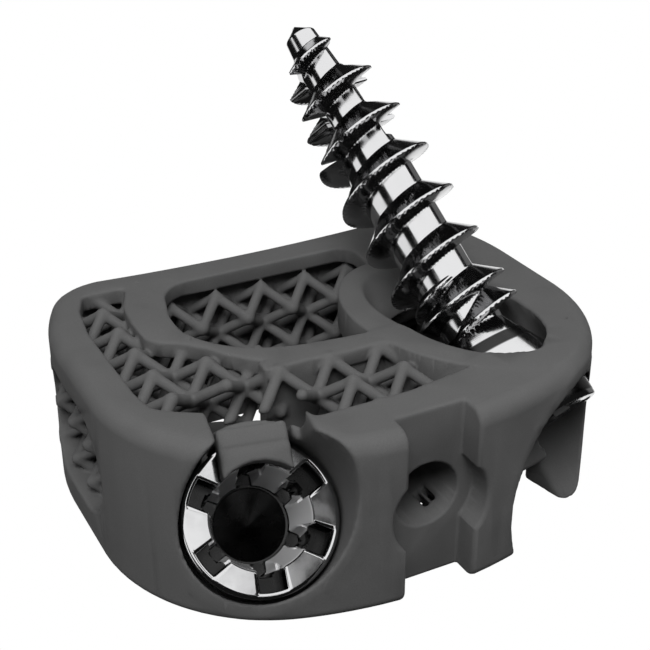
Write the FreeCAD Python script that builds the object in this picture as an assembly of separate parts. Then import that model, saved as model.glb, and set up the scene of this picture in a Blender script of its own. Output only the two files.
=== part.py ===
import FreeCAD, Part
import math
import os

V = FreeCAD.Vector
os.makedirs("parts", exist_ok=True)

# driving dimensions of the body, millimetres
body_width = 18.1
body_depth = 14.5
body_height = 6.4
front_radius = 12.6
shoulder_radius = 5.5
side_flat_end = 8.5
side_radius = 11.0
rear_hollow = 0.38
corner_round = 1.3
edge_round = 0.85
wall = 1.0
skin = 0.8

# slot and threaded hole for the inserter
slot_half_width = 1.25
slot_depth = 1.06
grip_radius = 1.72
thread_hole_radius = 1.05
thread_hole_depth = 2.4
thread_hole_chamfer = 0.25
boss_wall = 0.6

# graft window, measured from the front face
window_front = 6.35
window_rear = 12.98
window_left = 5.1
window_right = 3.75
window_round = 0.8

# open lattice bands
lattice_pitch = 1.76
strut_radius = 0.2
lattice_x = -6.65
lattice_y = 5.34
band_front = 2.4
band_rear = 5.75
column_outer = 7.9
column_inner = 6.3
rear_band = 0.8
band_floor = 0.4
strut_clearance = 3.3
side_window_half = 1.9
side_depth = 7.8
flush_scale = 0.995

# screw
screw_length = 18.0
thread_radius = 2.0
tip_thread_radius = 1.4
taper_length = 4.5
core_radius = 0.97
tip_core_radius = 0.62
thread_lead = 1.72
crest_width = 0.12
root_width = 0.62
neck_radius = 1.35
head_radius = 2.46
head_length = 2.0
thread_start = 3.9
second_start_length = 3.4
point_length = 1.3
socket_radius = 1.28
lobe_radius = 0.36
lobe_circle = 1.36
socket_depth = 2.2
crown_slot_width = 0.86
crown_slot_depth = 1.1
crown_rim = 0.2
flute_width = 1.5
flute_length = 5.0
flute_floor = 0.75
drill_cone = 0.85
flute_turn = 0
crown_turn = 30
crown_bevel = 0.12
funnel_radius = 1.65
thread_fade = 0.8
thread_slices = 14

# seats of the screws, given for the left one
screw_side = 5.2
screw_back = 2.03
screw_rise = 0.33
medial_angle = 11.4
tilt_angle = 40.9
head_gap = 0.14
seat_gap = 0.01
bore_gap = 0.1
relief_radius = 2.45
relief_lift = 0.4
relief_inward = 0.2
ring_width = 0.9
ring_height = 1.3
housing_wall = 0.4

# locking tab
tab_width = 2.25
tab_gap_side = 0.25
slit_width = 0.2
tab_root = -0.54
beam_end = 1.8
notch_inward = 0.15
tab_thickness = 0.8
tab_ahead = 0.2
tab_reach = 1.65
tab_top = 2.95

half_height = body_height / 2
half_width = body_width / 2
front_y = -slot_depth
embed = 0.12


def at(x, y, z):
    """A point given by its distance behind the front face."""
    return V(x, front_y + y, z)


def prism(points, low, high):
    """Upright prism on a ring of (x, distance behind front) pairs."""
    ring = [at(x, y, low) for x, y in points]
    face = Part.Face(Part.makePolygon(ring + [ring[0]]))
    return face.extrude(V(0, 0, high - low))


def turned(shape):
    """The same shape turned half a turn about the front-to-back axis."""
    copy = shape.copy()
    copy.rotate(V(0, 0, 0), V(0, 1, 0), 180)
    return copy


def with_turned(shapes):
    return shapes + [turned(shape) for shape in shapes]


# outline of the body from tangent arcs
shoulder_x = half_width - shoulder_radius
shoulder_y = front_radius - math.sqrt((front_radius - shoulder_radius) ** 2 - shoulder_x ** 2)


def outline_block(inset, low, high):
    """Solid on the plan outline moved inward by inset."""
    front = front_radius - inset
    shoulder = shoulder_radius - inset
    side = side_radius - inset
    edge_x = half_width - inset
    rear_y = body_depth - inset
    lean = math.asin(shoulder_x / (front_radius - shoulder_radius))
    middle = (math.pi / 2 + lean) / 2
    turn = math.asin((rear_y - side_flat_end) / side)
    side_x = half_width - side_radius
    join = (front * math.sin(lean), front_radius - front * math.cos(lean))
    bulge = (shoulder_x + shoulder * math.sin(middle), shoulder_y - shoulder * math.cos(middle))
    side_mid = (side_x + side * math.cos(turn / 2), side_flat_end + side * math.sin(turn / 2))
    rear_x = side_x + side * math.cos(turn)

    def arc(first, between, last):
        return Part.Arc(at(*first, low), at(*between, low), at(*last, low)).toShape()

    def line(first, last):
        return Part.LineSegment(at(*first, low), at(*last, low)).toShape()

    def left(point):
        return (-point[0], point[1])

    wide = (edge_x, shoulder_y)
    flat = (edge_x, side_flat_end)
    rear = (rear_x, rear_y)
    edges = [
        arc(left(join), (0, inset), join),
        arc(join, bulge, wide),
        line(wide, flat),
        arc(flat, side_mid, rear),
        arc(rear, (0, rear_y - rear_hollow), left(rear)),
        arc(left(rear), left(side_mid), left(flat)),
        line(left(flat), left(wide)),
        arc(left(wide), left(bulge), left(join)),
    ]
    return Part.Face(Part.Wire(edges)).extrude(V(0, 0, high - low))


def is_upright(edge):
    ends = edge.Vertexes
    return len(ends) == 2 and abs(ends[0].Z - ends[1].Z) > 0.4 * body_height


def rounded_uprights(shape, radius, test):
    edges = [e for e in shape.Edges if is_upright(e) and test(e.Vertexes[0])]
    return shape.makeFillet(radius, edges)


envelope = outline_block(0, -half_height, half_height)
envelope = rounded_uprights(envelope, corner_round, lambda v: v.Y > front_y + body_depth - 1)
envelope = envelope.makeFillet(edge_round, [e for e in envelope.Edges if not is_upright(e)])

# direction of the left screw: inward and down toward the back
medial = math.radians(medial_angle)
tilt = math.radians(tilt_angle)
crown = at(-screw_side, screw_back, screw_rise)
axis = V(math.sin(medial) * math.cos(tilt), math.cos(medial) * math.cos(tilt), -math.sin(tilt))
up = V(math.sin(medial) * math.sin(tilt), math.cos(medial) * math.sin(tilt), math.cos(tilt))
across = up.cross(axis)
seat_frame = FreeCAD.Matrix(
    across.x, up.x, axis.x, crown.x,
    across.y, up.y, axis.y, crown.y,
    across.z, up.z, axis.z, crown.z,
    0, 0, 0, 1)


def seated(shape):
    """Move a shape drawn with its axis along Z and its up side along Y onto the left screw axis."""
    copy = shape.copy()
    copy.Placement = FreeCAD.Placement(seat_frame).multiply(copy.Placement)
    return copy


def rod(radius, start, end, x=0, y=0):
    """Round bar along the screw axis."""
    return Part.makeCylinder(radius, end - start, V(x, y, start))


def bar(width, low, high, start, end):
    """Flat bar along the screw axis, between two heights above it."""
    return Part.makeBox(width, high - low, end - start, V(-width / 2, low, start))


# room for the left screw
counterbore_radius = head_radius + head_gap
bore_radius = thread_radius + bore_gap
seat_end = head_length + seat_gap + counterbore_radius - bore_radius
counterbore = rod(counterbore_radius, -8, head_length + seat_gap)
seat = Part.makeCone(counterbore_radius, bore_radius, counterbore_radius - bore_radius, V(0, 0, head_length + seat_gap))
bore = rod(bore_radius, seat_end - embed, 16)
relief = rod(relief_radius, seat_end + 0.9, 16, relief_inward, relief_lift)
screw_room = seated(counterbore.fuse([seat, bore, relief]))
housing_radius = counterbore_radius + housing_wall
housing = seated(rod(housing_radius, -3, seat_end + 0.9))

# collar round the exit of the left screw in the bottom face
exit_along = (half_height + screw_rise) / math.sin(tilt)
exit_point = crown + axis * exit_along
lift_run = relief_lift / math.sin(tilt)
exit_x = exit_point.x + lift_run * math.sin(medial) + relief_inward * across.x
exit_y = exit_point.y + lift_run * math.cos(medial) + relief_inward * across.y
ring_long = relief_radius / math.sin(tilt) + ring_width
ring_short = relief_radius + ring_width
ring_face = Part.Face(Part.Wire([Part.Ellipse(V(0, 0, 0), ring_long, ring_short).toShape()]))
collar = ring_face.extrude(V(0, 0, ring_height))
collar.rotate(V(0, 0, 0), V(0, 0, 1), 90 - medial_angle)
collar.translate(V(exit_x, exit_y, -half_height))
collar = collar.common(envelope)
housing = housing.common(envelope)

# hollow between the two endplate skins, behind the front wall
hollow = outline_block(wall, -half_height + skin, half_height - skin)
front_wall = prism([(-half_width, 0), (half_width, 0), (half_width, band_front), (-half_width, band_front)],
                   -half_height, half_height)
hollow = hollow.cut(front_wall)

# openings through the top skin
window_points = [
    (1 - window_left, window_rear), (window_right, window_rear), (window_right - 0.3, 9.5),
    (window_right - 0.3, window_front), (-1.4, window_front), (-3.1, 6.86), (-4.57, 8.2),
    (-window_left, 9.6)]
window = prism(window_points, 0, half_height)
window = rounded_uprights(window, window_round, lambda v: v.Y > front_y + window_rear - 0.1)
band_points = [
    (-7.3, 4.55), (-column_outer, 6.0), (-7.75, 10.0), (-7.1, 12.4), (-6.75, 13.1), (-5.35, 13.15),
    (-5.95, 12.0), (-column_inner, 10.8), (-column_inner, 9.3), (-5.35, 9.2), (-4.91, 7.83), (-3.44, 6.49),
    (-1.5, band_rear), (1.3, band_rear), (2.6, 3.3), (2.6, 2.55), (0, band_front), (-3.5, band_front),
    (-3.5, 3.0), (-6.1, 3.75)]
band = prism(band_points, 0, half_height)

# side windows: rounded slots through both side walls
side_front = at(0, 6.4 + side_window_half, 0).y
side_rear = at(0, 12.4 - side_window_half, 0).y
side_window = Part.makeBox(2 * half_width, side_rear - side_front, 2 * side_window_half,
                           V(-half_width, side_front, -side_window_half))
for end in (side_front, side_rear):
    side_window = side_window.fuse(Part.makeCylinder(side_window_half, 2 * half_width, V(-half_width, end, 0), V(1, 0, 0)))
side_core = Part.makeBox(2 * side_depth, body_depth, body_height, V(-side_depth, 0, -half_height))
side_window = side_window.cut(side_core)


def inside(point, ring):
    """True when a plan point lies inside a ring of (x, distance behind front) pairs."""
    hit = False
    x, y = point
    for first, last in zip(ring, ring[1:] + ring[:1]):
        if (first[1] > y) != (last[1] > y):
            if x < first[0] + (last[0] - first[0]) * (y - first[1]) / (last[1] - first[1]):
                hit = not hit
    return hit


def flipped(point):
    return (-point[0], point[1])


def axis_distance(point, side):
    """Distance of a point from a screw axis: side -1 for the left screw, 1 for the right one."""
    place = V(-side * point.x, point.y, -side * point.z) - crown
    return (place - axis * place.dot(axis)).Length


def wants_strut(point):
    """True where the middle of a strut lies in an open band, a side window or the rear band."""
    back = point.y - front_y
    plan = (point.x, back)
    if back < band_front or abs(point.z) > half_height:
        return False
    if min(axis_distance(point, side) for side in (-1, 1)) < strut_clearance:
        return False
    if inside(plan, band_points) and point.z > band_floor:
        return True
    if inside(flipped(plan), band_points) and point.z < -band_floor:
        return True
    if abs(point.z) > half_height - skin:
        return False
    if window_rear - rear_band < back < body_depth - wall:
        return abs(point.x) < column_inner
    return column_inner + wall < abs(point.x) < half_width - wall / 2 and 5.6 < back < 13.2


half_pitch = lattice_pitch / 2
directions = [(1, 1), (1, -1), (-1, 1), (-1, -1)]


def node(a, b, c):
    """Lattice node from three whole numbers, all even or all odd."""
    return at(lattice_x + a * half_pitch, lattice_y + b * half_pitch, half_height - strut_radius - c * half_pitch)


def leg_wanted(a, b, c, turn):
    start = node(a, b, c)
    end = node(a + turn[0], b + turn[1], c + 1)
    return wants_strut((start + end) / 2)


def strut(start, end):
    """Square bar between two points, standing on its corner."""
    run = end - start
    side = run.cross(V(0, 0, 1))
    side.normalize()
    other = run.cross(side)
    other.normalize()
    ring = [start + arm for arm in (side * strut_radius, other * strut_radius, side * -strut_radius,
                                    other * -strut_radius)]
    return Part.Face(Part.makePolygon(ring + [ring[0]])).extrude(run)


struts = []
for turn in directions:
    for a in range(-4, 22):
        for b in range(-4, 12):
            for c in range(-1, 8):
                if (a - b) % 2 or (b - c) % 2 or not leg_wanted(a, b, c, turn):
                    continue
                if leg_wanted(a - turn[0], b - turn[1], c - 1, turn):
                    continue
                count = 1
                while leg_wanted(a + count * turn[0], b + count * turn[1], c + count, turn):
                    count += 1
                struts.append(strut(node(a, b, c), node(a + count * turn[0], b + count * turn[1], c + count)))

# inserter slot with side grips, and the blind hole in its floor
slot = Part.makeBox(2 * slot_half_width, slot_depth + 1, body_height, V(-slot_half_width, -slot_depth - 1, -half_height))
grip = Part.makeCylinder(grip_radius, slot_depth + 1, V(0, -slot_depth - 1, 0), V(0, 1, 0))
boss = Part.makeCylinder(thread_hole_radius + boss_wall, thread_hole_depth + boss_wall, V(0, 0, 0), V(0, 1, 0))
hole = Part.makeCylinder(thread_hole_radius, thread_hole_depth, V(0, 0, 0), V(0, 1, 0))
mouth = Part.makeCone(thread_hole_radius + thread_hole_chamfer, thread_hole_radius, thread_hole_chamfer,
                      V(0, 0, 0), V(0, 1, 0))

# notch over the left screw head and the tab that locks the head in
notch = bar(tab_width + 2 * tab_gap_side, 1.0, 8, -6, tab_root)
notch = notch.cut(rod(counterbore_radius, -7, 1))
notch.translate(V(notch_inward, 0, 0))
slit = bar(tab_width + 2 * slit_width, 1.5, housing_radius + slit_width, tab_root - embed, beam_end)
spring = rod(housing_radius, -tab_ahead - tab_thickness, beam_end + embed)
spring = spring.cut(rod(counterbore_radius, -tab_ahead - tab_thickness - 1, beam_end + 1))
spring = spring.common(bar(tab_width, 1, housing_radius, -tab_ahead - tab_thickness, beam_end + embed))
hook = bar(tab_width, 0.5, tab_top, -tab_ahead - tab_thickness, -tab_ahead)
hook = hook.cut(rod(tab_reach, -3, 1))
tab = seated(spring.fuse(hook)).common(envelope)

shell = envelope.cut(with_turned([window, band]) + [hollow, side_window])
shell = shell.fuse(with_turned([housing, collar]) + [boss])
trim = envelope.copy()
trim.scale(flush_scale)
lattice = struts[0].fuse(struts[1:]).common(trim)
body = shell.fuse(lattice)
body = body.cut(with_turned([screw_room, seated(notch), seated(slit)]) + [slot, grip, hole, mouth])
body = body.fuse(with_turned([tab]))

# screw, drawn with its crown at zero and its point along Z
thread_end = screw_length - 0.5
thread_root = tip_core_radius / 2


def crest_radius(z, first, last):
    """Thread radius at a height: growing from the point, faded out over both ends."""
    grown = min(1, max(0, screw_length - point_length - z) / taper_length)
    full = tip_thread_radius + (thread_radius - tip_thread_radius) * grown
    fade = min(1, (z - first) / thread_fade + 0.05, (last - z) / thread_fade + 0.05)
    return tip_core_radius + (full - tip_core_radius) * fade


def thread(first, last, phase):
    """Fin lofted through slices turned about the axis."""
    count = int((last - first) / thread_lead * thread_slices)
    slices = []
    for k in range(count + 1):
        z = first + (last - first) * k / count
        angle = phase + 2 * math.pi * (z - first) / thread_lead
        crest = crest_radius(z, first, last)
        ring = []
        for radius, rise in ((thread_root, -root_width / 2), (crest, -crest_width / 2),
                             (crest, crest_width / 2), (thread_root, root_width / 2)):
            ring.append(V(radius * math.cos(angle), radius * math.sin(angle), z + rise))
        slices.append(Part.makePolygon(ring + [ring[0]]))
    return Part.makeLoft(slices, True, True, False)


def spun(points):
    """Solid turned from (radius, height) pairs."""
    ring = [V(radius, 0, z) for radius, z in points]
    return Part.Face(Part.makePolygon(ring + [ring[0]])).revolve(V(0, 0, 0), V(0, 0, 1), 360)


cone_end = head_length + head_radius - neck_radius
shank = spun([
    (0, 0), (head_radius - crown_bevel, 0), (head_radius, crown_bevel), (head_radius, head_length),
    (neck_radius, cone_end), (neck_radius, thread_start - 0.2), (core_radius, thread_start + 2),
    (tip_core_radius, screw_length - point_length), (0, screw_length)])

# six slots in the crown, each ending in a lobe of the driver socket
pocket = Part.makeCylinder(socket_radius, socket_depth)
pocket = pocket.fuse(Part.makeCone(socket_radius, 0, drill_cone, V(0, 0, socket_depth)))
for k in range(6):
    turn = 60 * k + crown_turn
    lobe = Part.makeCylinder(lobe_radius, socket_depth, V(lobe_circle, 0, 0))
    gap = Part.makeBox(head_radius - crown_rim, crown_slot_width, crown_slot_depth, V(0, -crown_slot_width / 2, 0))
    for piece in (lobe, gap):
        piece.rotate(V(0, 0, 0), V(0, 0, 1), turn)
        pocket = pocket.fuse(piece)
funnel = Part.makeCone(funnel_radius, socket_radius, crown_slot_depth)

# two cutting flutes near the point
flute = Part.makeBox(thread_radius, flute_width, flute_length,
                     V(flute_floor, -flute_width / 2, screw_length - flute_length - 0.6))
flutes = [flute, flute.copy()]
flutes[1].rotate(V(0, 0, 0), V(0, 0, 1), 180)
for flute in flutes:
    flute.rotate(V(0, 0, 0), V(0, 0, 1), flute_turn)

main_thread = thread(thread_start, thread_end, 0)
second_thread = thread(thread_start, thread_start + second_start_length, math.pi)
screw = shank.fuse([main_thread, second_thread]).cut(flutes + [pocket, funnel])
caudal_screw = seated(screw)
cranial_screw = turned(caudal_screw)

body.exportStep("parts/cage_body.step")
cranial_screw.exportStep("parts/cranial_screw.step")
caudal_screw.exportStep("parts/caudal_screw.step")
print("solids", len(body.Solids), len(screw.Solids), "valid", body.isValid(), screw.isValid())
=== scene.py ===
import math

import bpy
import numpy as np
from mathutils import Matrix, Vector


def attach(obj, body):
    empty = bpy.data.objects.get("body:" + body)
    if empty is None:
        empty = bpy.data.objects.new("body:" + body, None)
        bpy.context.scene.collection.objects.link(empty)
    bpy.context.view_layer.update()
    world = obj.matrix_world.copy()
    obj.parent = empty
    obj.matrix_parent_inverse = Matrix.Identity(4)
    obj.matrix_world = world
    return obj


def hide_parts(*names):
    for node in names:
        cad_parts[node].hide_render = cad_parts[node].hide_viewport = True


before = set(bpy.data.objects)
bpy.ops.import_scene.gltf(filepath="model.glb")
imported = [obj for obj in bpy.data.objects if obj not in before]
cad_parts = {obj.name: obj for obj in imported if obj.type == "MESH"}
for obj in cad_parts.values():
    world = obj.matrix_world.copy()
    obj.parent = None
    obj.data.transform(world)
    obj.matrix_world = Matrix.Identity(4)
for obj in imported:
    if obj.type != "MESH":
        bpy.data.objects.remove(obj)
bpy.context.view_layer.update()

MM = 0.001

# camera, worked out from the photograph: place and lens in millimetres, turns in degrees, clip in metres
CAMERA_PLACE = (-18.32, -28.28, 23.57)
CAMERA_TURN, CAMERA_DOWN, CAMERA_ROLL = 27.46, 27.54, 0.18
CAMERA_LENS, SENSOR_WIDTH = 70.9, 36
CLIP_NEAR, CLIP_FAR = 0.002, 10

# body, in millimetres; b is the distance behind the front face
BODY_WIDTH, BODY_DEPTH, BODY_HEIGHT = 18.04, 15.05, 6.4
FRONT_RADIUS, SHOULDER_RADIUS, SIDE_RADIUS = 14.85, 6.35, 8.7
SIDE_FLAT_END = 9.9
REAR_HOLLOW = 0.46
CORNER_ROUND = 1.4
TOP_ROUND, BOTTOM_ROUND = 0.6, 0.42
WALL, SKIN = 1.0, 0.65
SOFT_EDGE, HOLLOW_EDGE, SLOT_EDGE, HOLE_EDGE, VENT_EDGE = 0.09, 0.03, 0.14, 0.05, 0.01
RING_BLEND = 0.1
HALF_HEIGHT = BODY_HEIGHT / 2
HALF_WIDTH = BODY_WIDTH / 2

# grid of the body's field: spacing, empty cells round it, share of faces kept, and what the skin is set in by
STEP, MARGIN_CELLS, FACE_SHARE, SET_IN = 0.085, 3, 0.27, 0.004

SLOT_HALF_WIDTH, SLOT_DEPTH, GRIP_RADIUS = 1.25, 1.06, 1.72
HOLE_RADIUS, HOLE_DEPTH, BOSS_WALL = 1.15, 2.4, 0.6
VENT_ANGLES = (50, 64)
VENT_WIDTH, VENT_START, VENT_END, VENT_NEAR, VENT_FAR = 0.2, 0.75, 1.5, 0.85, 2.4

# plan rings of the top face's openings: the graft window, and the open band of struts on the left
WINDOW = [
    (-4.1, 12.98), (4.0, 12.98), (3.6, 9.5), (3.45, 6.35), (-1.4, 6.35), (-3.1, 6.86), (-4.57, 8.2),
    (-5.1, 9.6)]
WINDOW_ROUND, BAND_BLUR_CELLS = 0.9, 5
BAND = [
    (-7.55, 5.1), (-7.7, 6.2), (-7.7, 10.6), (-7.45, 12.4), (-7.0, 13.5), (-5.4, 13.5), (-6.0, 12.0),
    (-6.15, 10.8), (-6.15, 9.4), (-5.85, 8.95), (-5.2, 8.55), (-4.55, 7.85), (-4.2, 7.2), (-3.6, 6.5),
    (-3.0, 6.0), (-2.1, 5.6), (-1.2, 5.45), (0.9, 5.45), (1.6, 4.6), (2.6, 3.4), (2.6, 2.75), (0, 2.35),
    (-3.3, 2.35), (-3.4, 3.0), (-6.0, 4.0), (-6.9, 4.55)]
BAND_FRONT, BAND_FLOOR = 2.35, 0.4
WINDOW_REAR, COLUMN_INNER, OVERLAP = 12.98, 6.15, 0.8
WEB_HALF_WIDTH, WEB_FRONT, WEB_REAR = 3.45, 5.55, 6.2
SIDE_WINDOW_HALF, SIDE_WINDOW_FRONT, SIDE_WINDOW_REAR, SIDE_DEPTH = 1.9, 6.4, 12.6, 7.8

# lattice: cell, first node, ranges of node numbers, and room kept free round the screws and tabs
CELL_WIDTH, CELL_DEPTH, CELL_HEIGHT = 1.86, 1.65, 1.5
STRUT_RADIUS = 0.2
LATTICE_X, LATTICE_B = -6.7, 5.55
NODES_ACROSS, NODES_BACK, NODES_DOWN = (-4, 22), (-4, 12), (-1, 8)
STRUT_REACH = 0.4
HEAD_CLEARANCE, BORE_CLEARANCE, HEAD_ZONE = 3.75, 2.95, 3.0
TAB_CLEARANCE, TAB_ZONE = 4.1, 1.3
STRUT_BLEND, STRUT_RISE, STRUT_MARGIN = 0.1, 0.05, 0.35

# screws, in millimetres
SCREW_LENGTH, HEAD_RADIUS, CORE_RADIUS, TIP_CORE_RADIUS = 17.22, 2.5, 1.16, 0.6
CORE_TAPER, POINT_LENGTH, NECK_END, NECK_ANGLE = 6.5, 0.5, 3.9, 28
THREAD_RADIUS, TIP_THREAD_RADIUS, TAPER_LENGTH, TAPER_STOP = 2.0, 1.55, 4.5, 1.3
THREAD_LEAD, THREAD_PHASE, THREAD_START, SECOND_START_LENGTH = 1.78, -45, 3.5, 3.0
CREST_WIDTH, BASE_SHARE, BACK_LEAN = 0.1, 0.9, 0.14
THREAD_FADE, TIP_FADE, FADE_START = 0.8, 1.9, 0.05
FLUTE_TURN, FLUTE_WIDTH, FLUTE_LENGTH, FLUTE_FLOOR, FLUTE_TIP_GAP = -30, 1.5, 5.0, 0.75, 0.6
SCREW_SIDE, SCREW_BACK, SCREW_RISE, MEDIAL, TILT, HEAD_SINK = 5.2, 2.03, 0.33, 11.4, 40.9, 0.68
HEAD_GAP, BORE_GAP, SEAT_GAP, HOUSING_WALL, HOUSING_REACH = 0.12, 0.17, 0.01, 0.4, 0.5
HOUSING_START, WAY_END, SEAT_LAP = -3, 16, 0.1
RELIEF_RADIUS, RELIEF_LIFT = 2.22, 0.75
RING_LONG, RING_SHORT, RING_BACK, RING_HEIGHT = 4.74, 3.45, 0.565, 1.3
CROWN_TURN, CROWN_SLOT, CROWN_SLOT_DEPTH, CROWN_RIM = 30, 0.86, 1.1, 0.2
SOCKET_RADIUS, SOCKET_DEPTH, FUNNEL_RADIUS, DRILL_CONE = 1.26, 2.35, 1.65, 0.85
LOBE_RADIUS, LOBE_CIRCLE, LOBE_SOFT, DRILL_EDGE, CROWN_BEVEL, SHARP_ANGLE = 0.31, 1.45, 0.08, 0.05, 0.05, 50

# grid of a screw: rows down its side, with the gaps between the three runs of rows, then lines in a sixth of the
# crown, the rings of its petals, funnel and drill cone, and the hairline between a floor and a wall
NECK_ROWS, ROW_STEP, TIP_ROWS = 24, 0.035, 8
FIRST_ROW, NECK_ROWS_STOP, THREAD_ROWS_START, TIP_ROWS_START = 0.3, 0.5, 0.45, 0.45
THREAD_ROWS_PAST, TIP_HOLE = 0.02, 0.002
CROWN_LINES, SLOT_LINES, SLOT_SINE_LIMIT, BEVEL_RADIUS_LIMIT = 30, 13, 0.45, 0.5
PETAL_RINGS, FUNNEL_RINGS, DRILL_RINGS = 7, 13, 14
PETAL_START, PETAL_STOP, FUNNEL_LEAD, DRILL_START = 0.06, 0.1, 0.04, 0.09
HAIR, HAIR_ANGLE = 0.001, 1e-5

# locking tab, with the notch, slits and crease that shape it
TAB_WIDTH, TAB_GAP_OUTER, TAB_GAP_INNER, SLIT_WIDTH = 2.25, 0.25, 0.45, 0.2
TAB_ROOT, BEAM_END, TAB_THICKNESS, TAB_AHEAD, TAB_REACH = -0.54, 1.8, 0.8, 0.2, 1.65
TAB_TOP, TAB_CREASE, TAB_LEAN, EMBED = 2.8, 2.15, 0.12, 0.12
NOTCH_FRONT, NOTCH_LOW, NOTCH_HIGH, SLIT_LOW, SPRING_LOW, HOOK_LOW = -6, 1, 8, 1.5, 1, 0.5
HOOK_EDGE, HOOK_SIDE_EDGE, HOOK_BORE_EDGE = 0.05, 0.1, 0.06
CREASE_RADIUS, CREASE_LIFT, CREASE_EDGE = 0.09, 0.03, 0.02

# looks: tones of the metals and of the grain in the matt one, the tone of the painted shade in the screws' slots
# and socket bottom, scales of their patterns, and light levels
BODY_TONE, METAL_TONE, PAINTED_SHADE_TONE = 0.07, 0.46, 0.03
GRAIN_DARK, GRAIN_PALE = 0.86, 1.5
GRAIN_SCALE, PATCH_SCALE, SMEAR_SCALE, TURNING_PITCH = 22000.0, 900.0, 1500.0, 0.00006
ROOM_LIGHT, KEY_LIGHT, LEFT_LIGHT, RIGHT_LIGHT = 0.3, 0.3, 0.03, 0.035
BACK_START, BACK_FULL, DARK_LEVEL = 0.86, 0.92, 0.012
PANEL_EDGE, PANEL_SIDE, LEAST_AHEAD = 0.04, (0.02, 0.06), 0.01
# the last roughness is added where the screws' shade is painted
MATT_ROUGHNESS, SHINY_ROUGHNESS, PAINTED_SHADE_ROUGHNESS = (0.62, 0.78), (0.07, 0.17), 0.15
MATT_SHINE, FUNNEL_DULLING, BLUE_SHARE = 0.25, 0.75, 1.01
GRAIN_BUMP, TURNING_BUMP = (0.35, 0.00001), (0.12, 0.000001)

# looks of a screw by place: depths below the rim where each starts, is full, ends and is gone, and the radii
# where it comes in (slots) or goes out (floor and funnel); slots and floor are painted shade, the funnel is less
# of a mirror
SLOT_PAINTED_SHADE, SLOT_PAINTED_SHADE_RADII = (0.15, 0.22, 1.5, 1.6), (1.66, 1.7)
FLOOR_PAINTED_SHADE, FLOOR_PAINTED_SHADE_RADII = (SOCKET_DEPTH - 0.12, SOCKET_DEPTH - 0.04, 3.25, 3.3), (1.7, 1.74)
FUNNEL_FINISH = (0.03, 0.08, SOCKET_DEPTH - 0.16, SOCKET_DEPTH - 0.12)
FUNNEL_FINISH_RADII = (FUNNEL_RADIUS + 0.02, FUNNEL_RADIUS + 0.04)

# left screw: its directions along, up and across, the middle of its rim, and the radii and depths of its seat
medial, tilt = math.radians(MEDIAL), math.radians(TILT)
AXIS = np.array([math.sin(medial) * math.cos(tilt), math.cos(medial) * math.cos(tilt), -math.sin(tilt)])
UP = np.array([math.sin(medial) * math.sin(tilt), math.cos(medial) * math.sin(tilt), math.cos(tilt)])
ACROSS = np.cross(UP, AXIS)
CROWN = np.array([-SCREW_SIDE, SCREW_BACK, SCREW_RISE]) + HEAD_SINK * AXIS
NECK_SLOPE = math.tan(math.radians(NECK_ANGLE))
HEAD_LENGTH = NECK_END - (HEAD_RADIUS - CORE_RADIUS) / NECK_SLOPE
BORE_RADIUS = THREAD_RADIUS + BORE_GAP
COUNTERBORE_RADIUS = HEAD_RADIUS + HEAD_GAP
HOUSING_RADIUS = COUNTERBORE_RADIUS + HOUSING_WALL
SEAT_START = HEAD_LENGTH + SEAT_GAP
SEAT_END = SEAT_START + (COUNTERBORE_RADIUS - BORE_RADIUS) / NECK_SLOPE
HOUSING_END = SEAT_END + HOUSING_REACH


def put_mesh(name, points, quads, body, node):
    """A mesh object from points in millimetres and rows of four corners, riding on a body for a node."""
    mesh = bpy.data.meshes.new(name)
    mesh.vertices.add(len(points))
    mesh.vertices.foreach_set("co", np.ascontiguousarray(points * MM, dtype=np.float32).ravel())
    mesh.loops.add(4 * len(quads))
    mesh.loops.foreach_set("vertex_index", np.ascontiguousarray(quads, dtype=np.int32).ravel())
    mesh.polygons.add(len(quads))
    mesh.polygons.foreach_set("loop_start", np.arange(0, 4 * len(quads), 4, dtype=np.int32))
    mesh.update(calc_edges=True)
    mesh.validate()
    mesh.shade_smooth()
    piece = bpy.data.objects.new(name, mesh)
    bpy.context.scene.collection.objects.link(piece)
    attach(piece, body)
    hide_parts(node)
    return piece


# distance fields: negative inside, in millimetres
def meet(first, second, radius):
    """What lies in both forms, with the outer corner rounded: a quarter circle near where they cross."""
    first, second = first + radius, second + radius
    corner = np.hypot(np.maximum(first, 0), np.maximum(second, 0))
    return np.minimum(np.maximum(first, second), 0) + corner - radius


def cut(form, tool, radius=SOFT_EDGE):
    """The form without the tool, with the edge softened."""
    return meet(form, -tool, radius)


def join(first, second, radius):
    """Both forms together, with a fillet where they come within the radius of each other."""
    share = np.maximum(radius - np.abs(first - second), 0) / radius
    return np.minimum(first, second) - share * share * radius / 4


def slab(value, low, high):
    """Distance outside a range of one coordinate."""
    return np.maximum(low - value, value - high)


def ring_distance(ring, x, b):
    """Distance to a closed ring of plan points: the least distance to its sides, negative where a ray to one side
    crosses an odd number of them."""
    far = np.full(np.broadcast(x, b).shape, 1e9)
    odd = np.zeros(far.shape, bool)
    for (px, pb), (qx, qb) in zip(ring, ring[1:] + ring[:1]):
        ex, eb = qx - px, qb - pb
        t = np.clip(((x - px) * ex + (b - pb) * eb) / (ex * ex + eb * eb), 0, 1)
        far = np.minimum(far, np.hypot(x - px - t * ex, b - pb - t * eb))
        if pb != qb:
            odd ^= ((pb > b) != (qb > b)) & (x < px + ex * (b - pb) / eb)
    return np.where(odd, -far, far)


def convex_distance(ring, x, b, radius):
    """Distance to a convex ring given clockwise seen from above, as rounded half planes."""
    form = None
    for (px, pb), (qx, qb) in zip(ring, ring[1:] + ring[:1]):
        ex, eb = qx - px, qb - pb
        side = ((x - px) * -eb + (b - pb) * ex) / math.hypot(ex, eb)
        form = side if form is None else meet(form, side, radius)
    return form


def blurred(plan, cells):
    """Plan field averaged over a square of cells, which rounds the corners of a ring."""
    kernel = np.ones(cells) / cells
    padded = np.pad(plan, cells // 2, mode="edge")
    rows = np.apply_along_axis(np.convolve, 0, padded, kernel, "valid")
    return np.apply_along_axis(np.convolve, 1, rows, kernel, "valid")


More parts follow.
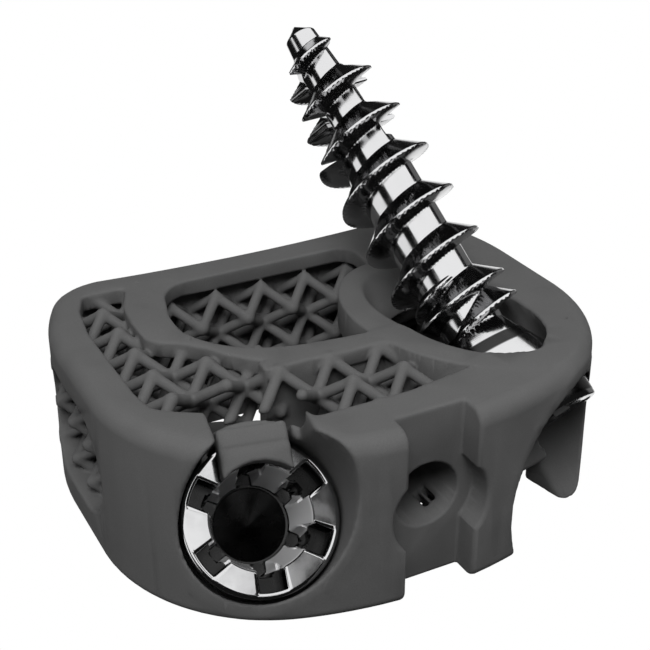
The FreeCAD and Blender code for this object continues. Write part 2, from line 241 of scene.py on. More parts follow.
def outline(x, b):
    """Plan outline of the body: front arc, shoulder arcs, straight sides, side arcs and hollow rear arc."""
    ax = np.abs(x)
    shoulder_x = HALF_WIDTH - SHOULDER_RADIUS
    shoulder_b = FRONT_RADIUS - math.sqrt((FRONT_RADIUS - SHOULDER_RADIUS) ** 2 - shoulder_x ** 2)
    lean = math.asin(shoulder_x / (FRONT_RADIUS - SHOULDER_RADIUS))
    side_x = HALF_WIDTH - SIDE_RADIUS
    front = np.hypot(x, b - FRONT_RADIUS) - FRONT_RADIUS
    shoulder = np.hypot(ax - shoulder_x, b - shoulder_b) - SHOULDER_RADIUS
    side = np.hypot(ax - side_x, b - SIDE_FLAT_END) - SIDE_RADIUS
    plan = np.where(ax < (FRONT_RADIUS - b) * math.tan(lean), front, shoulder)
    plan = np.where(b > shoulder_b, ax - HALF_WIDTH + 0 * b, plan)
    plan = np.where(b > SIDE_FLAT_END, side, plan)
    rear_x = side_x + math.sqrt(SIDE_RADIUS ** 2 - (BODY_DEPTH - SIDE_FLAT_END) ** 2)
    rear_radius = (rear_x ** 2 + REAR_HOLLOW ** 2) / (2 * REAR_HOLLOW)
    rear = rear_radius - np.hypot(x, b - (BODY_DEPTH - REAR_HOLLOW + rear_radius))
    return meet(plan, rear, CORNER_ROUND)


def strut_wanted(x, b, z):
    """True for the middles of struts in a band, a side window or behind the graft window, away from the screws.
    Below the middle the bands lie as if turned half a turn, so x changes its sign there."""
    def blocks(side):
        place = np.stack([-side * x, b, -side * z], -1) - CROWN
        along = place @ AXIS
        gap = np.linalg.norm(place - along[..., None] * AXIS, axis=-1)
        deep = (along < HEAD_ZONE) & (np.abs(z) < HALF_HEIGHT - SKIN)
        behind_tab = (along < TAB_ZONE) & (z * side < 0)
        return (gap < np.where(deep, HEAD_CLEARANCE, BORE_CLEARANCE)) | (behind_tab & (gap < TAB_CLEARANCE))
    band_x = np.copysign(x, x * z)
    band = ring_distance(BAND, band_x, b) < 0
    band |= ring_distance(BAND, band_x - STRUT_REACH, b - STRUT_REACH) < 0
    band &= np.abs(z) > BAND_FLOOR
    core = np.abs(z) < HALF_HEIGHT - SKIN
    rear = core & (b > WINDOW_REAR - OVERLAP) & (b < BODY_DEPTH - WALL) & (np.abs(x) < COLUMN_INNER)
    side = core & (b > SIDE_WINDOW_FRONT - OVERLAP) & (b < SIDE_WINDOW_REAR + OVERLAP)
    side &= (np.abs(x) > SIDE_DEPTH - OVERLAP) & (np.abs(x) < HALF_WIDTH)
    fits = (b > BAND_FRONT) & (np.abs(z) < HALF_HEIGHT) & ~blocks(-1) & ~blocks(1)
    return fits & (band | rear | side)


def strut_ends():
    """Ends of all struts: from each lattice node to the four nodes half a cell below it, where wanted."""
    ranges = [np.arange(*ends) for ends in (NODES_ACROSS, NODES_BACK, NODES_DOWN)]
    a, d, c = np.meshgrid(*ranges, indexing="ij")
    even = ((a - d) % 2 == 0) & ((d - c) % 2 == 0)
    a, d, c = a[even], d[even], c[even]
    start = np.stack([LATTICE_X + a * CELL_WIDTH / 2, LATTICE_B + d * CELL_DEPTH / 2,
                      HALF_HEIGHT - STRUT_RADIUS - c * CELL_HEIGHT / 2], -1)
    firsts, lasts = [], []
    for across, back in ((1, 1), (1, -1), (-1, 1), (-1, -1)):
        end = start + np.array([across * CELL_WIDTH / 2, back * CELL_DEPTH / 2, -CELL_HEIGHT / 2])
        middle = (start + end) / 2
        keep = strut_wanted(middle[:, 0], middle[:, 1], middle[:, 2])
        firsts.append(start[keep])
        lasts.append(end[keep])
    return np.concatenate(firsts), np.concatenate(lasts)


def lattice_field(xs, bs, zs):
    """Round struts: distance to each strut's middle line less its radius, joined with small fillets."""
    field = np.full((len(xs), len(bs), len(zs)), 1.0, np.float32)
    reach = STRUT_RADIUS + STRUT_MARGIN
    for first, last in zip(*strut_ends()):
        low, high = np.minimum(first, last) - reach, np.maximum(first, last) + reach
        i = slice(*np.searchsorted(xs, (low[0], high[0])))
        j = slice(*np.searchsorted(bs, (low[1], high[1])))
        k = slice(*np.searchsorted(zs, (low[2], high[2])))
        run = last - first
        x, b, z = xs[i, None, None] - first[0], bs[None, j, None] - first[1], zs[None, None, k] - first[2]
        t = np.clip((x * run[0] + b * run[1] + z * run[2]) / (run @ run), 0, 1)
        bar = np.sqrt((x - t * run[0]) ** 2 + (b - t * run[1]) ** 2 + (z - t * run[2]) ** 2) - STRUT_RADIUS
        field[i, j, k] = join(field[i, j, k], bar, STRUT_BLEND)
    return field


def turned(form):
    """A form turned half a turn about the front-to-back line, on a grid that is even about the middle."""
    return form[::-1, :, ::-1]


def face_openings(x2, b2, z):
    """Graft window and strut band through the faces. Below the middle they lie turned half a turn."""
    window = convex_distance(WINDOW, x2, b2, WINDOW_ROUND)
    openings = np.minimum(window, blurred(ring_distance(BAND, x2, b2), BAND_BLUR_CELLS))
    return np.where(z > 0, openings[:, :, None], openings[::-1, :, None])


def side_windows(x, b, z):
    """Long windows with round ends, one from each side."""
    middle = (SIDE_WINDOW_FRONT + SIDE_WINDOW_REAR) / 2
    length = (SIDE_WINDOW_REAR - SIDE_WINDOW_FRONT) / 2 - SIDE_WINDOW_HALF
    side = np.hypot(np.maximum(np.abs(b - middle) - length, 0), z) - SIDE_WINDOW_HALF
    return np.maximum(side, SIDE_DEPTH - np.abs(x))


def exit_ring(x2, b2, z):
    """Upright ring round the left screw's way out of the bottom: an ellipse drawn out along the screw's way."""
    exit_along = (HALF_HEIGHT + CROWN[2]) / math.sin(tilt)
    exit_x = CROWN[0] + AXIS[0] * exit_along + RING_BACK * math.sin(medial)
    exit_b = CROWN[1] + AXIS[1] * exit_along + RING_BACK * math.cos(medial)
    along = (x2 - exit_x) * math.sin(medial) + (b2 - exit_b) * math.cos(medial)
    beside = (x2 - exit_x) * math.cos(medial) - (b2 - exit_b) * math.sin(medial)
    collar = (np.hypot(along / RING_LONG, beside / RING_SHORT) - 1)[:, :, None] * RING_SHORT
    return np.maximum(collar, z + HALF_HEIGHT - RING_HEIGHT)


def slot_backing(x, b, z):
    """The web across the body behind the front, and the boss round the threaded hole."""
    web = np.maximum(np.abs(x) - WEB_HALF_WIDTH, slab(b, WEB_FRONT, WEB_REAR))
    hole_end = SLOT_DEPTH + HOLE_DEPTH
    boss = np.maximum(np.hypot(x, z) - HOLE_RADIUS - BOSS_WALL, slab(b, SLOT_DEPTH, hole_end + BOSS_WALL))
    return np.minimum(web, boss)


def screw_way(lx, ly, lz, radial):
    """Room for the left screw: counterbore, cone of the seat, bore, and a wider relief past the housing."""
    head_room = np.maximum(radial - COUNTERBORE_RADIUS, lz - SEAT_START)
    cone = (radial - BORE_RADIUS - (SEAT_END - lz) * NECK_SLOPE) * math.cos(math.atan(NECK_SLOPE))
    cone = np.maximum(cone, slab(lz, SEAT_START - SEAT_LAP, SEAT_END))
    bore = np.maximum(radial - BORE_RADIUS, slab(lz, SEAT_END - SEAT_LAP, WAY_END))
    relief = np.maximum(np.hypot(lx, ly - RELIEF_LIFT) - RELIEF_RADIUS, slab(lz, HOUSING_END, WAY_END))
    return np.minimum(np.minimum(head_room, cone), np.minimum(bore, relief))


def tab_gaps(lx, ly, lz, beside_tab):
    """The notch in the housing ahead of the left tab's root, and the slits on both sides of its spring."""
    notch_middle = (TAB_GAP_OUTER - TAB_GAP_INNER) / 2
    notch_half = (TAB_WIDTH + TAB_GAP_OUTER + TAB_GAP_INNER) / 2
    notch = np.maximum(np.abs(lx - notch_middle) - notch_half, slab(lz, NOTCH_FRONT, TAB_ROOT))
    notch = np.maximum(notch, slab(ly, NOTCH_LOW, NOTCH_HIGH))
    slit = np.maximum(beside_tab - SLIT_WIDTH, slab(lz, TAB_ROOT - EMBED, BEAM_END))
    slit = np.maximum(slit, slab(ly, SLIT_LOW, HOUSING_RADIUS + SLIT_WIDTH))
    return notch, slit


def locking_tab(ly, lz, radial, beside_tab):
    """The left tab: a thin spring in the housing's wall, and a hook with a crease that leans over the head."""
    spring = slab(radial, COUNTERBORE_RADIUS, HOUSING_RADIUS)
    spring = np.maximum(spring, slab(lz, -TAB_AHEAD - EMBED, BEAM_END + EMBED))
    spring = np.maximum(np.maximum(spring, beside_tab), SPRING_LOW - ly)
    front = -TAB_AHEAD - TAB_THICKNESS
    face = front - lz + TAB_LEAN * np.maximum(ly - TAB_CREASE, 0) / (TAB_TOP - TAB_CREASE)
    hook = meet(np.maximum(face, lz + TAB_AHEAD), slab(ly, HOOK_LOW, TAB_TOP), HOOK_EDGE)
    hook = meet(hook, beside_tab, HOOK_SIDE_EDGE)
    hook = cut(hook, radial - TAB_REACH, HOOK_BORE_EDGE)
    crease = np.hypot(ly - TAB_CREASE, lz - front + CREASE_LIFT) - CREASE_RADIUS
    return np.minimum(spring, cut(hook, crease, CREASE_EDGE))


def cut_inserter(form, x, b, z):
    """The form without the inserter slot, its round grip, the hole, and the small dark slits beside the hole."""
    from_hole = np.hypot(x, z)
    slot = np.minimum(np.abs(x) - SLOT_HALF_WIDTH + 0 * z, from_hole - GRIP_RADIUS)
    form = cut(form, np.maximum(slot, b - SLOT_DEPTH), SLOT_EDGE)
    form = cut(form, np.maximum(from_hole - HOLE_RADIUS, b - SLOT_DEPTH - HOLE_DEPTH), HOLE_EDGE)
    for angle in VENT_ANGLES:
        turn = math.radians(angle)
        out = x * math.cos(turn) - z * math.sin(turn)
        wide = x * math.sin(turn) + z * math.cos(turn)
        vent = np.maximum(slab(out, VENT_NEAR, VENT_FAR), np.abs(wide) - VENT_WIDTH / 2)
        form = cut(form, np.maximum(vent, slab(b - SLOT_DEPTH, VENT_START, VENT_END)), VENT_EDGE)
    return form


def body_field(xs, bs, zs):
    """The whole printed body as one distance field on a grid that is even about the middle in x and z. The forms
    round the left screw are worked out in its own directions, across, up and along, and again turned half a
    turn for the right screw."""
    x2, b2 = xs[:, None], bs[None, :]
    x, b, z = xs[:, None, None], bs[None, :, None], zs[None, None, :]
    place = [x - CROWN[0], b - CROWN[1], z - CROWN[2]]
    lx, ly, lz = [sum(p * w for p, w in zip(place, way)).astype(np.float32) for way in (ACROSS, UP, AXIS)]
    radial = np.hypot(lx, ly)
    beside_tab = np.abs(lx) - TAB_WIDTH / 2

    plan = outline(x2, b2)[:, :, None]
    rim = np.where(z > 0, TOP_ROUND, BOTTOM_ROUND)
    envelope = meet(plan, np.abs(z) - HALF_HEIGHT, rim).astype(np.float32)
    hollow = np.maximum(np.maximum(plan + WALL, np.abs(z) - HALF_HEIGHT + SKIN), BAND_FRONT - b)
    form = cut(envelope, face_openings(x2, b2, z))
    form = cut(form, hollow, HOLLOW_EDGE)
    form = cut(form, side_windows(x, b, z))
    housing = np.maximum(radial - HOUSING_RADIUS, slab(lz, HOUSING_START, HOUSING_END))
    for part in (housing, exit_ring(x2, b2, z)):
        part = np.maximum(part, envelope)
        form = join(form, part, RING_BLEND)
        form = join(form, turned(part), RING_BLEND)
    form = np.minimum(form, np.maximum(slot_backing(x, b, z), envelope))
    struts = np.maximum(lattice_field(xs, bs, zs), np.maximum(plan, np.abs(z) - HALF_HEIGHT - STRUT_RISE))
    form = join(form, struts, STRUT_BLEND)

    for tool in (screw_way(lx, ly, lz, radial), *tab_gaps(lx, ly, lz, beside_tab)):
        form = cut(form, tool)
        form = cut(form, turned(tool))
    form = cut_inserter(form, x, b, z)
    tab = np.maximum(locking_tab(ly, lz, radial, beside_tab), envelope)
    form = np.minimum(form, tab)
    form = np.minimum(form, turned(tab))
    return form + SET_IN


def skin_of(field, origin, step):
    """Surface of a field: one point in each crossed cell, at the mean of the crossings on its twelve edges, and
    a four-cornered face round each crossed edge of the grid, facing out."""
    solid = field < 0
    counts = np.zeros(np.array(field.shape) - 1, np.uint8)
    corners = [(i, j, k) for i in (0, 1) for j in (0, 1) for k in (0, 1)]
    nx, ny, nz = field.shape
    for i, j, k in corners:
        counts += solid[i:nx - 1 + i, j:ny - 1 + j, k:nz - 1 + k]
    cells = np.nonzero((counts > 0) & (counts < 8))
    values = {c: field[cells[0] + c[0], cells[1] + c[1], cells[2] + c[2]] for c in corners}
    total = np.zeros((len(cells[0]), 3))
    hits = np.zeros(len(cells[0]))
    for first in corners:
        for way in range(3):
            if first[way]:
                continue
            last = tuple(v + (n == way) for n, v in enumerate(first))
            u, v = values[first], values[last]
            crossed = (u < 0) != (v < 0)
            t = np.where(crossed, u / np.where(crossed, u - v, 1), 0)
            spot = np.array(first, float) + t[:, None] * (np.array(last) - first)
            total += spot * crossed[:, None]
            hits += crossed
    points = origin + step * (np.stack(cells, -1) + total / hits[:, None])
    number = np.full(counts.shape, -1, np.int64)
    number[cells] = np.arange(len(points))
    quads = []
    for way in range(3):
        lo = [slice(1, n - 1) for n in field.shape]
        lo[way] = slice(0, field.shape[way] - 1)
        hi = list(lo)
        hi[way] = slice(1, field.shape[way])
        here, there = solid[tuple(lo)], solid[tuple(hi)]
        at = np.nonzero(here != there)
        inside_first = here[at]
        grid = [at[n] + (0 if n == way else 1) for n in range(3)]
        u, v = (way + 1) % 3, (way + 2) % 3
        loop = []
        for du, dv in ((-1, -1), (0, -1), (0, 0), (-1, 0)):
            g = list(grid)
            g[u] = g[u] + du
            g[v] = g[v] + dv
            loop.append(number[tuple(g)])
        loop = np.stack(loop, -1)
        quads.append(np.where(inside_first[:, None], loop, loop[:, ::-1]))
    return points, np.concatenate(quads)


def make_body():
    """The printed body as the skin of its field, its faces thinned out where the skin is even."""
    half_x = math.ceil((HALF_WIDTH + MARGIN_CELLS * STEP) / STEP)
    half_z = math.ceil((HALF_HEIGHT + MARGIN_CELLS * STEP) / STEP)
    xs = np.arange(-half_x, half_x + 1) * STEP
    zs = np.arange(-half_z, half_z + 1) * STEP
    bs = np.arange(-MARGIN_CELLS, math.ceil(BODY_DEPTH / STEP) + MARGIN_CELLS + 1) * STEP
    points, quads = skin_of(body_field(xs, bs, zs), np.array([xs[0], bs[0], zs[0]]), STEP)
    points[:, 1] -= SLOT_DEPTH
    piece = put_mesh("printed_body", points, quads, "cage", "cage_body")
    thinned = piece.modifiers.new("thinned", "DECIMATE")
    thinned.ratio = FACE_SHARE
    return piece


def seated(points, side):
    """Points drawn along the left screw's own axis, moved to its seat, or turned half a turn to the right one."""
    place = points @ np.stack([ACROSS, UP, AXIS]) + CROWN - np.array([0, SLOT_DEPTH, 0])
    return place * np.array([-side, 1, -side])


def shank_radius(z):
    """Radius of the plain screw: bevelled head, head cone, core, core taper and point, as straight runs."""
    heights = [0, CROWN_BEVEL, HEAD_LENGTH, NECK_END, SCREW_LENGTH - CORE_TAPER, SCREW_LENGTH - POINT_LENGTH,
               SCREW_LENGTH]
    radii = [HEAD_RADIUS - CROWN_BEVEL, HEAD_RADIUS, HEAD_RADIUS, CORE_RADIUS, CORE_RADIUS, TIP_CORE_RADIUS,
             0.0]
    return np.interp(z, heights, radii)


def thread_surface(z, angle, first, last, phase):
    """Radius of a thread. With u the height from the nearest turn of the helix, it is the crest radius inside the
    crest width. Outside, it falls by the rest of u over the lean of the steep side toward the head, or over the
    lean of the sloped side toward the point."""
    root = TIP_CORE_RADIUS - EMBED
    front_lean = (BASE_SHARE * THREAD_LEAD - CREST_WIDTH) / (THREAD_RADIUS - root) - BACK_LEAN
    turns = (z - first) / THREAD_LEAD - (angle - phase) / (2 * math.pi)
    u = THREAD_LEAD * (turns - np.round(turns))
    at = z - u
    grown = np.clip((SCREW_LENGTH - TAPER_STOP - at) / TAPER_LENGTH, 0, 1)
    full = TIP_THREAD_RADIUS + (THREAD_RADIUS - TIP_THREAD_RADIUS) * grown
    fade = np.clip(np.minimum((at - first) / THREAD_FADE, (last - at) / TIP_FADE) + FADE_START, 0, 1)
    crest = TIP_CORE_RADIUS + (full - TIP_CORE_RADIUS) * fade
    over = np.abs(u) - CREST_WIDTH / 2
    drop = np.maximum(over, 0) / np.where(u < 0, BACK_LEAN, front_lean)
    return np.where((at > first) & (at < last), crest - drop, 0)


def fluted(radius, z, angle):
    """Radius after the two cutting flutes: each takes what lies past its flat floor, between its two walls."""
    start = SCREW_LENGTH - FLUTE_LENGTH - FLUTE_TIP_GAP
    in_length = (z > start) & (z < start + FLUTE_LENGTH)
    quarter = math.sqrt(0.5)
    for half in (0, 1):
        turn = angle - math.radians(FLUTE_TURN) - half * math.pi
        ahead, beside = np.cos(turn), np.abs(np.sin(turn))
        taken = in_length & (ahead > quarter) & (radius * beside < FLUTE_WIDTH / 2)
        radius = np.where(taken, np.minimum(radius, FLUTE_FLOOR / np.maximum(ahead, quarter)), radius)
    return radius


def screw_side(angles):
    """Rows of rings down the screw: the radius at a height and angle is the greatest of core and threads."""
    end = SCREW_LENGTH - POINT_LENGTH
    neck = np.linspace(FIRST_ROW, THREAD_START - NECK_ROWS_STOP, NECK_ROWS)
    thread = np.arange(THREAD_START - THREAD_ROWS_START, end + THREAD_ROWS_PAST, ROW_STEP)
    tip = np.linspace(SCREW_LENGTH - TIP_ROWS_START, SCREW_LENGTH - TIP_HOLE, TIP_ROWS)
    rows = np.concatenate([[CROWN_BEVEL], neck, thread, tip])
    z, angle = rows[:, None] + 0 * angles, angles + 0 * rows[:, None]
    phase = math.radians(THREAD_PHASE)
    radius = np.maximum(shank_radius(z), thread_surface(z, angle, THREAD_START, end, phase))
    second = thread_surface(z, angle, THREAD_START, THREAD_START + SECOND_START_LENGTH, phase + math.pi)
    radius = fluted(np.maximum(radius, second), z, angle)
    return np.stack([radius * np.cos(angle), radius * np.sin(angle), z], -1)


def crown_columns(radius):
    """Angles of the grid lines at one radius: in each sixth the slot lines keep to the slot's straight sides, the
    rest spread over the petal, and both ease to even spacing at the rim."""
    half = np.arcsin(np.minimum(CROWN_SLOT / 2 / radius, SLOT_SINE_LIMIT))
    sixth = math.pi / 3
    bevel = CROWN_BEVEL / np.maximum(radius, BEVEL_RADIUS_LIMIT)
    slot = np.linspace(-1, 1, SLOT_LINES) * half
    petal = np.linspace(half + bevel, sixth - half - bevel, CROWN_LINES - SLOT_LINES - 2)
    own = np.concatenate([slot, [half + HAIR_ANGLE], petal, [sixth - half - HAIR_ANGLE]])
    even = -half + sixth * np.arange(CROWN_LINES) / CROWN_LINES
    ease = np.clip((radius - (HEAD_RADIUS - CROWN_RIM)) / CROWN_RIM, 0, 1)
    return own + (even - own) * ease


def crown_rings():
    """Grid of the crown from the rim to the middle of the drill cone. The depth falls from the flat petals to the
    slot floors, and on a cone to the socket floor, with a round lobe sunk at the inner end of each slot."""
    rim = HEAD_RADIUS - CROWN_RIM
    radii = np.concatenate([
        [HEAD_RADIUS - CROWN_BEVEL, rim + CROWN_BEVEL, rim, rim],
        np.linspace(rim - PETAL_START, FUNNEL_RADIUS + PETAL_STOP, PETAL_RINGS), [FUNNEL_RADIUS + FUNNEL_LEAD],
        np.linspace(FUNNEL_RADIUS, SOCKET_RADIUS, FUNNEL_RINGS),
        [SOCKET_RADIUS - HAIR, SOCKET_RADIUS - DRILL_EDGE],
        np.linspace(SOCKET_RADIUS - DRILL_START, TIP_HOLE, DRILL_RINGS)])
    line = np.arange(CROWN_LINES)
    in_slot = line < SLOT_LINES
    wall_top = (line == SLOT_LINES) | (line == CROWN_LINES - 1)
    turns = (np.arange(6) * math.pi / 3 + math.radians(CROWN_TURN))[:, None]
    rings = []
    for number, radius in enumerate(radii):
        own = crown_columns(radius)
        funnel = np.clip((FUNNEL_RADIUS - radius) / (FUNNEL_RADIUS - SOCKET_RADIUS), 0, 1) * SOCKET_DEPTH
        top = funnel + (CROWN_BEVEL if abs(radius - FUNNEL_RADIUS) < HAIR else 0)
        high = np.where(wall_top & (radius <= rim) & (funnel < CROWN_SLOT_DEPTH), top + CROWN_BEVEL, top)
        low = np.maximum(CROWN_SLOT_DEPTH, funnel)
        x, y = radius * np.cos(own), radius * np.sin(own)
        lobe = np.hypot(x - LOBE_CIRCLE, y) - LOBE_RADIUS
        sunk = np.clip(0.5 - lobe / LOBE_SOFT, 0, 1)
        low = low + (SOCKET_DEPTH - low) * sunk
        high = high + (SOCKET_DEPTH - high) * np.where(wall_top, 0, sunk) * (radius < FUNNEL_RADIUS)
        height = np.where(in_slot, low, high)
        if number < 2:
            height = np.zeros(CROWN_LINES)
        elif number == 2:
            height = np.where(in_slot, CROWN_BEVEL, high)
        if radius < SOCKET_RADIUS:
            drilled = DRILL_CONE * max(0, SOCKET_RADIUS - DRILL_EDGE - radius) / SOCKET_RADIUS
            height = np.full(CROWN_LINES, SOCKET_DEPTH + drilled)
        angle = (turns + own).ravel()
        rings.append(np.stack([radius * np.cos(angle), radius * np.sin(angle), np.tile(height, 6)], -1))
    return np.stack(rings)


def make_screw(name, side, body, node):
    """A screw as one grid of rings, from the drill cone up over the crown and down to the point."""
    crown = crown_rings()
    angles = np.arctan2(crown[0, :, 1], crown[0, :, 0])
    grid = np.concatenate([crown[::-1], screw_side(angles)])
    rows, columns = grid.shape[:2]
    row, column = np.meshgrid(np.arange(rows - 1), np.arange(columns), indexing="ij")
    after = (column + 1) % columns
    here, below = row * columns, (row + 1) * columns
    quads = np.stack([here + column, below + column, below + after, here + after], -1).reshape(-1, 4)
    points = seated(grid.reshape(-1, 3), side)
    piece = put_mesh(name, points, quads, body, node)
    piece.data.set_sharp_from_angle(angle=math.radians(SHARP_ANGLE))
    return piece


def add_camera():
    """The camera in the photograph's place, turned, tipped down and rolled."""
    data = bpy.data.cameras.new("camera")
    data.lens = CAMERA_LENS
    data.sensor_width = SENSOR_WIDTH
    data.clip_start = CLIP_NEAR
    data.clip_end = CLIP_FAR
    camera = bpy.data.objects.new("camera", data)
    bpy.context.scene.collection.objects.link(camera)
    camera.location = Vector(CAMERA_PLACE) * MM
    turn = Matrix.Rotation(math.radians(-CAMERA_TURN), 4, "Z")
    down = Matrix.Rotation(math.radians(90 - CAMERA_DOWN), 4, "X")
    roll = Matrix.Rotation(math.radians(-CAMERA_ROLL), 4, "Z")
    camera.rotation_euler = (turn @ down @ roll).to_euler()
    bpy.context.scene.camera = camera


def add_light(name, place, aim, size, watts):
    """A soft lamp that shades the body; the metal mirrors the room's panels instead."""
    data = bpy.data.lights.new(name, "AREA")
    data.shape = "RECTANGLE"
    data.size, data.size_y = size[0] * MM, size[1] * MM
    data.energy = watts
    lamp = bpy.data.objects.new(name, data)
    bpy.context.scene.collection.objects.link(lamp)
    lamp.location = Vector(place) * MM
    lamp.rotation_euler = (Vector(aim) - Vector(place)).to_track_quat("-Z", "Y").to_euler()
    lamp.visible_glossy = False


class Wiring:
    """Short ways to add and join shader nodes."""

    def __init__(self, tree):
        self.nodes, self.links = tree.nodes, tree.links

    def node(self, kind, settings=None, **sockets):
        """A new node with its settings and its inputs by name."""
        made = self.nodes.new(kind)
        for name, value in (settings or {}).items():
            setattr(made, name, value)
        for name, value in sockets.items():
            self.set(made, name.replace("_", " "), value)
        return made

    def set(self, made, socket, value):
        """Give an input, by name or number, a value or the output of another node."""
        target = made.inputs[int(socket)] if str(socket).isdigit() else made.inputs[socket]
        if isinstance(value, bpy.types.NodeSocket):
            self.links.new(value, target)
        else:
            target.default_value = value

    def math(self, operation, first, second=0.0):
        """One operation on two numbers."""
        made = self.node("ShaderNodeMath", {"operation": operation})
        self.set(made, 0, first)
        self.set(made, 1, second)
        return made.outputs[0]

    def dot(self, vector, way):
        """How far a vector runs along a direction."""
        made = self.node("ShaderNodeVectorMath", {"operation": "DOT_PRODUCT"})
        self.set(made, 0, vector)
        self.set(made, 1, way)
        return made.outputs["Value"]

    def vector(self, operation, first, second):
        """One operation on two vectors."""
        made = self.node("ShaderNodeVectorMath", {"operation": operation})
        self.set(made, 0, first)
        self.set(made, 1, second)
        return made.outputs["Vector"]

    def scaled(self, way, length):
        """A direction times a length."""
        made = self.node("ShaderNodeVectorMath", {"operation": "SCALE"})
        self.set(made, 0, way)
        self.set(made, "Scale", length)
        return made.outputs["Vector"]

    def between(self, value, low, full, end, gone):
        """1 between two depths in millimetres, easing to 0 outside them."""
        rise = self.ramp(value, low * MM, full * MM)
        return self.math("MULTIPLY", rise, self.ramp(value, end * MM, gone * MM, 1.0, 0.0))

    def ramp(self, value, low, high, start=0.0, end=1.0):
        """From start to end on a soft step as the value goes from low to high."""
        made = self.node("ShaderNodeMapRange", {"interpolation_type": "SMOOTHSTEP"})
        for number, item in enumerate((value, low, high, start, end)):
            self.set(made, number, item)
        return made.outputs[0]

    def noise(self, vector, scale, detail):
        """Soft noise of a scale."""
        made = self.node("ShaderNodeTexNoise", None, Vector=vector, Scale=scale, Detail=detail)
        return made.outputs[0]


def grey(level):
    """An opaque grey."""
    return level, level, level, 1


# studio panels: the way they lie in, across and along, ranges across and along at unit distance, and level
PANELS = (
    ((0, 0, 1), (1, 0, 0), (0, 1, 0), (-1.1, 1.45), (-0.78, 0.75), 1.7),
    ((0, 0, 1), (1, 0, 0), (0, 1, 0), (-1.5, 0.05), (-1.5, -0.7), 1.7),
    ((-1, 0, 0), (0, 1, 0), (0, 0, 1), (-0.14, 0.5), (-0.6, 0.33), 1.5),
    ((1, 0, 0), (0, 1, 0), (0, 0, 1), (0.12, 0.7), (-0.5, 0.42), 0.2),
)


def add_world():
    """The camera sees white all round. Glossy and transmission rays see the same white behind the object, and
    elsewhere a dark room with pale panels. Diffuse rays see an even grey."""
    world = bpy.data.worlds.new("studio")
    world.use_nodes = True
    world.node_tree.nodes.clear()
    wire = Wiring(world.node_tree)
    way = wire.node("ShaderNodeTexCoord").outputs["Generated"]
    turn, down = math.radians(CAMERA_TURN), math.radians(CAMERA_DOWN)
    forward = (math.sin(turn) * math.cos(down), math.cos(turn) * math.cos(down), -math.sin(down))
    level = wire.ramp(wire.dot(way, forward), BACK_START, BACK_FULL, DARK_LEVEL, 1.0)
    for toward, across, along, wide, high, strength in PANELS:
        ahead = wire.dot(way, toward)
        safe = wire.math("MAXIMUM", ahead, LEAST_AHEAD)
        panel = wire.ramp(ahead, *PANEL_SIDE, 0.0, strength)
        for direction, (low, top) in ((across, wide), (along, high)):
            place = wire.math("DIVIDE", wire.dot(way, direction), safe)
            rise = wire.ramp(place, low - PANEL_EDGE, low + PANEL_EDGE)
            fall = wire.ramp(place, top - PANEL_EDGE, top + PANEL_EDGE, 1.0, 0.0)
            panel = wire.math("MULTIPLY", wire.math("MULTIPLY", panel, rise), fall)
        level = wire.math("MAXIMUM", level, panel)
    path = wire.node("ShaderNodeLightPath")
    by_camera = path.outputs["Is Camera Ray"]
    level = wire.math("ADD", level, wire.math("MULTIPLY", by_camera, wire.math("SUBTRACT", 1.0, level)))
    studio = wire.node("ShaderNodeBackground", None, Color=level, Strength=1.0)
    room = wire.node("ShaderNodeBackground", None, Color=grey(0.5), Strength=ROOM_LIGHT)
    seen = wire.math("MAXIMUM", by_camera, path.outputs["Is Glossy Ray"])
    seen = wire.math("MAXIMUM", seen, path.outputs["Is Transmission Ray"])
    mix = wire.node("ShaderNodeMixShader")
    wire.set(mix, 0, seen)
    wire.set(mix, 1, room.outputs[0])
    wire.set(mix, 2, studio.outputs[0])
    out = wire.node("ShaderNodeOutputWorld")
    wire.set(out, "Surface", mix.outputs[0])
    bpy.context.scene.world = world


def new_material(name):
    """A material, its wiring, its shader, and the place on the piece in metres."""
    mat = bpy.data.materials.new(name)
    mat.use_nodes = True
    wire = Wiring(mat.node_tree)
    place = wire.node("ShaderNodeTexCoord").outputs["Object"]
    return mat, wire, mat.node_tree.nodes["Principled BSDF"], place


def printed_metal():
    """Matt dark printed metal: fine powder grain as bumps, and soft patches in tone and roughness."""
    mat, wire, shader, place = new_material("printed_titanium")
    grain = wire.noise(place, GRAIN_SCALE, 3.0)
    patches = wire.noise(place, PATCH_SCALE, 2.0)
    tone = wire.node("ShaderNodeMixRGB")
    wire.set(tone, "Fac", wire.math("MULTIPLY", grain, patches))
    wire.set(tone, "Color1", grey(BODY_TONE * GRAIN_DARK))
    wire.set(tone, "Color2", grey(BODY_TONE * GRAIN_PALE))
    wire.set(shader, "Base Color", tone.outputs[0])
    wire.set(shader, "Roughness", wire.ramp(patches, 0.3, 0.7, *MATT_ROUGHNESS))
    wire.set(shader, "Specular IOR Level", MATT_SHINE)
    strength, distance = GRAIN_BUMP
    bump = wire.node("ShaderNodeBump", None, Strength=strength, Distance=distance, Height=grain)
    wire.set(shader, "Normal", bump.outputs[0])
    return mat


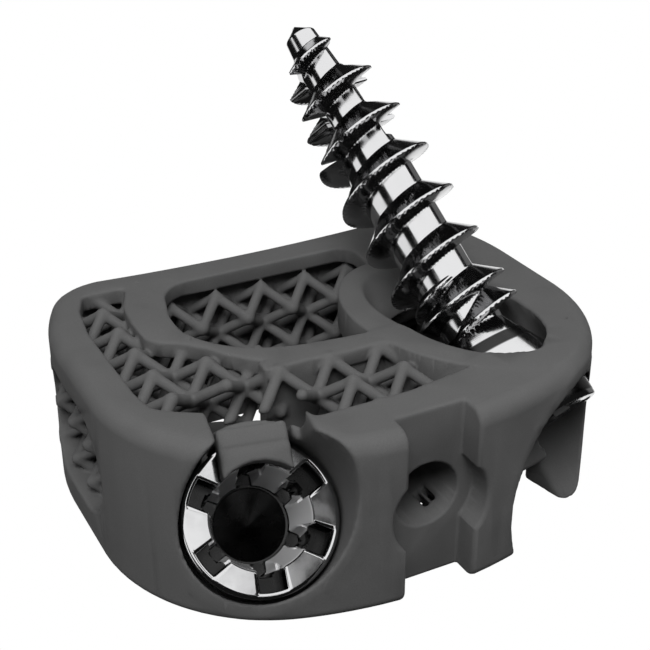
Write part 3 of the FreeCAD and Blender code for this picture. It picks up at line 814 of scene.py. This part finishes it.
def polished_metal(name, axis, crown):
    """Polished metal with faint turning marks: fine rings spaced along the screw's axis. The crown's slots, the
    head's side in its bore and the bottom of the socket are painted in shade, a dark rougher tone, and the
    socket's funnel is less of a mirror, by depth below the rim and distance from the axis."""
    mat, wire, shader, place = new_material(name)
    axis = tuple(float(v) for v in axis)
    from_crown = wire.vector("SUBTRACT", place, tuple(float(v) * MM for v in crown))
    depth = wire.dot(from_crown, axis)
    beside = wire.node("ShaderNodeVectorMath", {"operation": "LENGTH"})
    wire.set(beside, 0, wire.vector("SUBTRACT", from_crown, wire.scaled(axis, depth)))
    beside = beside.outputs["Value"]

    def finish(depths, radii, start, end):
        edge = wire.ramp(beside, radii[0] * MM, radii[1] * MM, start, end)
        return wire.math("MULTIPLY", wire.between(depth, *depths), edge)

    # painted shade: the crown's slots, the head's side in its bore and the socket bottom get a dark, rougher tone
    slots = finish(SLOT_PAINTED_SHADE, SLOT_PAINTED_SHADE_RADII, 0.0, 1.0)
    floor = finish(FLOOR_PAINTED_SHADE, FLOOR_PAINTED_SHADE_RADII, 1.0, 0.0)
    dark = wire.math("MAXIMUM", slots, floor)
    funnel = finish(FUNNEL_FINISH, FUNNEL_FINISH_RADII, 1.0, 0.0)
    rings = wire.math("SINE", wire.math("MULTIPLY", depth, 2 * math.pi / TURNING_PITCH))
    smear = wire.noise(place, SMEAR_SCALE, 3.0)
    # base tone, turning to the painted shade tone in the slots and the socket bottom
    tone = wire.node("ShaderNodeMixRGB")
    wire.set(tone, "Fac", dark)
    wire.set(tone, "Color1", (METAL_TONE, METAL_TONE, METAL_TONE * BLUE_SHARE, 1))
    wire.set(tone, "Color2", grey(PAINTED_SHADE_TONE))
    wire.set(shader, "Base Color", tone.outputs[0])
    wire.set(shader, "Metallic", wire.math("SUBTRACT", 1.0, wire.math("MULTIPLY", funnel, FUNNEL_DULLING)))
    smeared = wire.ramp(smear, 0.25, 0.75, *SHINY_ROUGHNESS)
    wire.set(shader, "Roughness", wire.math("ADD", smeared, wire.math("MULTIPLY", dark, PAINTED_SHADE_ROUGHNESS)))
    strength, distance = TURNING_BUMP
    bump = wire.node("ShaderNodeBump", None, Strength=strength, Distance=distance,
                     Height=wire.math("MULTIPLY", rings, smear))
    wire.set(shader, "Normal", bump.outputs[0])
    return mat


matt = printed_metal()
body = make_body()
body.data.materials.append(matt)
screws = {}
for name, side, rider, node in (("right_screw", 1, "upper_screw", "cranial_screw"),
                                ("left_screw", -1, "lower_screw", "caudal_screw")):
    signs = np.array([-side, 1, -side])
    crown = (CROWN - np.array([0, SLOT_DEPTH, 0])) * signs
    shiny = polished_metal("polished_" + name, AXIS * signs, crown)
    piece = make_screw(name, side, rider, node)
    piece.data.materials.append(shiny)
    screws[node] = shiny
for name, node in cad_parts.items():
    node.data.materials.clear()
    node.data.materials.append(screws.get(name, matt))

add_camera()
add_world()
add_light("key", (-40, -60, 120), (0, 0, 0), (80, 80), KEY_LIGHT)
add_light("left_fill", (-120, -20, 40), (0, 0, 0), (80, 80), LEFT_LIGHT)
add_light("right_fill", (90, -60, 40), (0, 0, 0), (60, 120), RIGHT_LIGHT)

bpy.context.scene.view_settings.view_transform = "Standard"
